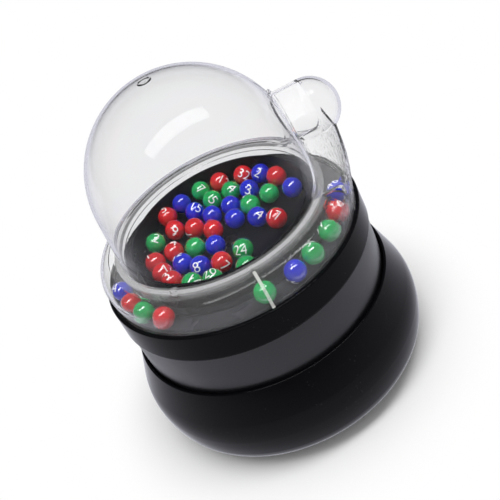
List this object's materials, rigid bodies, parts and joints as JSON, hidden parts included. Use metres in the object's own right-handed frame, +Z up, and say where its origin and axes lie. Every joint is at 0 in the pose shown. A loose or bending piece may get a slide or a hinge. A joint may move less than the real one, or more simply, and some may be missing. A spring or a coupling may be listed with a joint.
{
  "type": "desktop ball-drawing machine",
  "caption": "Small battery ball-drawing machine: clear dome over a turning drum, clear ring gallery with an exit hood, and a black top that presses into a bulging base.",
  "frame": {"origin": "centre of the base, on the plane its four feet stand on", "axes": "+Z up along the dome's axis, +X out along the exit hood, -Y the front"},
  "size_m": [0.13, 0.13, 0.1531],
  "materials": {
    "gloss_black": "glossy black injection-moulded plastic",
    "satin_black": "satin black plastic, hidden side",
    "clear_plastic": "clear polystyrene, polished",
    "steel": "zinc-plated steel",
    "brass": "turned brass",
    "rubber": "soft black rubber",
    "cell_jacket": "printed foil jacket",
    "white_plastic": "white plastic",
    "ball_red": "polished red plastic",
    "ball_green": "polished green plastic",
    "ball_blue": "polished blue plastic"
  },
  "bodies": {
    "base": {"lower_bowl": "gloss_black", "base_plate": "satin_black", "base_feet": "rubber", "base_screws": "steel", "battery_box": "satin_black", "battery_contacts": "steel", "batteries": "cell_jacket", "start_switch": "satin_black", "return_springs": "steel"},
    "door": {"battery_door": "satin_black"},
    "top": {"press_housing": "gloss_black", "guide_washers": "steel", "guide_screws": "steel", "gallery_deck": "gloss_black", "deck_screws": "steel", "drum_bowl": "gloss_black", "drum_screws": "steel", "motor": "steel", "motor_clamp": "satin_black", "motor_screws": "steel", "shaft_bush": "brass", "switch_plunger": "white_plastic", "gallery_balls_red": "ball_red", "gallery_balls_green": "ball_green", "gallery_balls_blue": "ball_blue"},
    "drum_floor": {"turntable": "gloss_black", "motor_shaft": "steel", "hub_cap": "gloss_black", "drum_balls_red": "ball_red", "drum_balls_green": "ball_green", "drum_balls_blue": "ball_blue"},
    "cover": {"dome": "clear_plastic", "gallery_cover": "clear_plastic"}
  },
  "joints": [
    {"name": "press_to_start", "type": "slide", "parent": "base", "child": "top", "axis": [0, 0, -1], "range_m": [0, 0.003], "stiffness_N_per_m": 700, "springref_m": -0.006, "deforming": ["return_springs"]},
    {"name": "drum_spin", "type": "hinge", "parent": "top", "child": "drum_floor", "pos_m": [0, 0, 0.0732], "axis": [0, 0, 1], "continuous": true},
    {"name": "cover_lift", "type": "slide", "parent": "top", "child": "cover", "axis": [0, 0, 1], "range_m": [0, 0.08]},
    {"name": "door_drop", "type": "slide", "parent": "base", "child": "door", "axis": [0, 0, -1], "range_m": [0, 0.02]}
  ]
}
